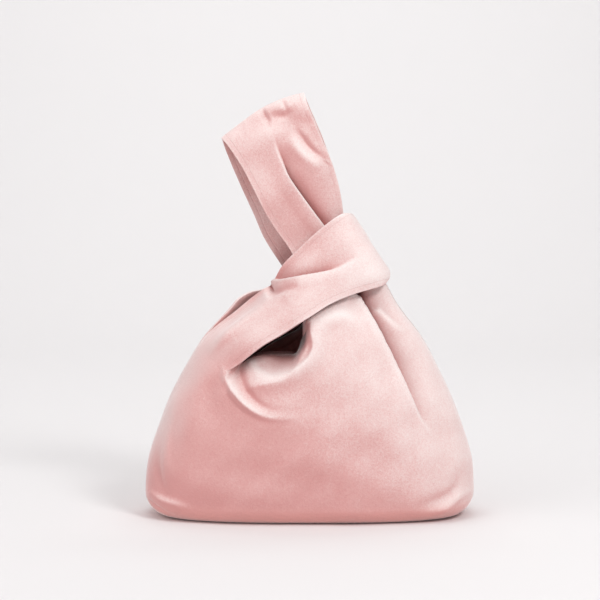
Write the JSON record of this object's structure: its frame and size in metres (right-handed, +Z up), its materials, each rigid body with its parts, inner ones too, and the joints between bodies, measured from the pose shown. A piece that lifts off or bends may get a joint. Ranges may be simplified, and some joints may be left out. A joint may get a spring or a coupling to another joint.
{
  "type": "furoshiki bag",
  "caption": "Soft velvet wrist bag with a flat base, closed by drawing its long handle loop through its short one.",
  "frame": {"origin": "on the surface the bag stands on, under the middle of its bounding box", "axes": "+Z up through the standing bag, +X to the right seen from the front, +Y from the front panel to the back panel"},
  "size_m": [0.2604, 0.1122, 0.3343],
  "materials": {
    "velvet": "dusty-pink velvet with a soft directional sheen"
  },
  "bodies": {
    "root": {"front_panel": "velvet", "back_panel": "velvet", "short_handle": "velvet", "long_handle": "velvet"}
  },
  "joints": []
}
